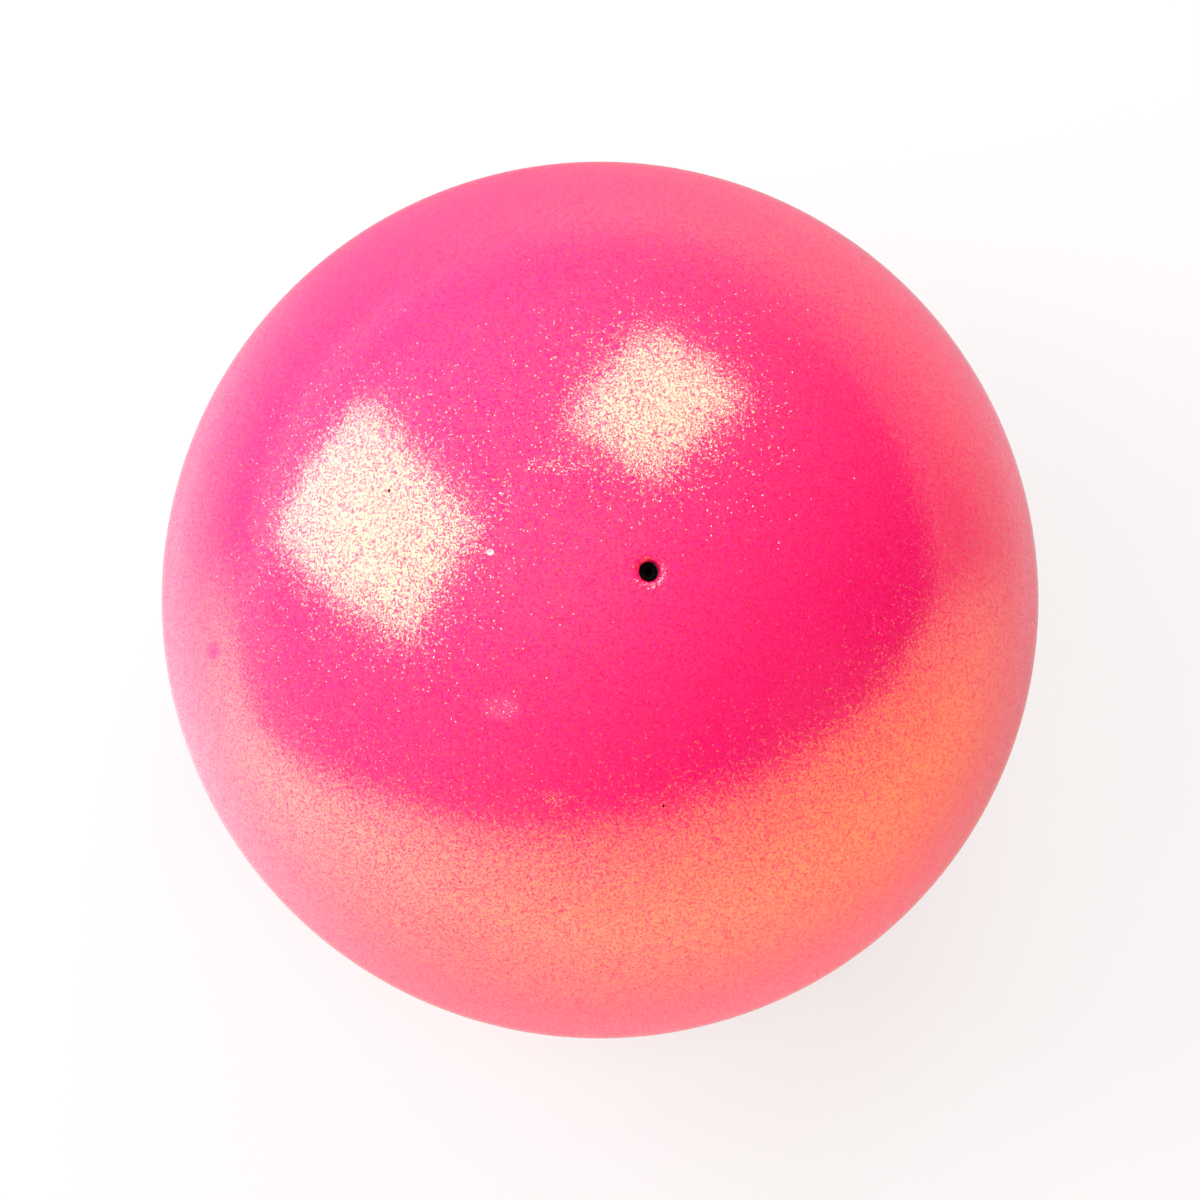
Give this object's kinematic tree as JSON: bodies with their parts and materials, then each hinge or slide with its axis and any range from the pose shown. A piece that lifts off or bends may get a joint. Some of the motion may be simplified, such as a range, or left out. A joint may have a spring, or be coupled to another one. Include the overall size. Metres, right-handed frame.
{
  "type": "rhythmic gymnastics ball",
  "caption": "Hollow rubber gymnastics ball with a pink glitter lacquer and a recessed needle valve, for tossing, rolling and balancing on the hand.",
  "frame": {"origin": "centre of the ball", "axes": "+Z from the centre out through the valve; +X and +Y are any two directions square to it, because the ball is round about the valve's axis"},
  "size_m": [0.185, 0.185, 0.1849],
  "materials": {
    "glitter_lacquer": "clear lacquer full of gold and pink flakes over hot pink",
    "pink_rubber": "moulded, matt, deep pink-red",
    "boot_rubber": "moulded, matt, natural tan",
    "black_rubber": "moulded butyl, satin black"
  },
  "bodies": {
    "ball": {"glitter_lacquer": "glitter_lacquer", "rubber_wall": "pink_rubber", "valve_boot": "boot_rubber"},
    "core": {"valve_core": "black_rubber"}
  },
  "joints": [
    {"name": "core_pull", "type": "slide", "parent": "ball", "child": "core", "axis": [0, 0, 1], "range_m": [0, 0.011]}
  ]
}
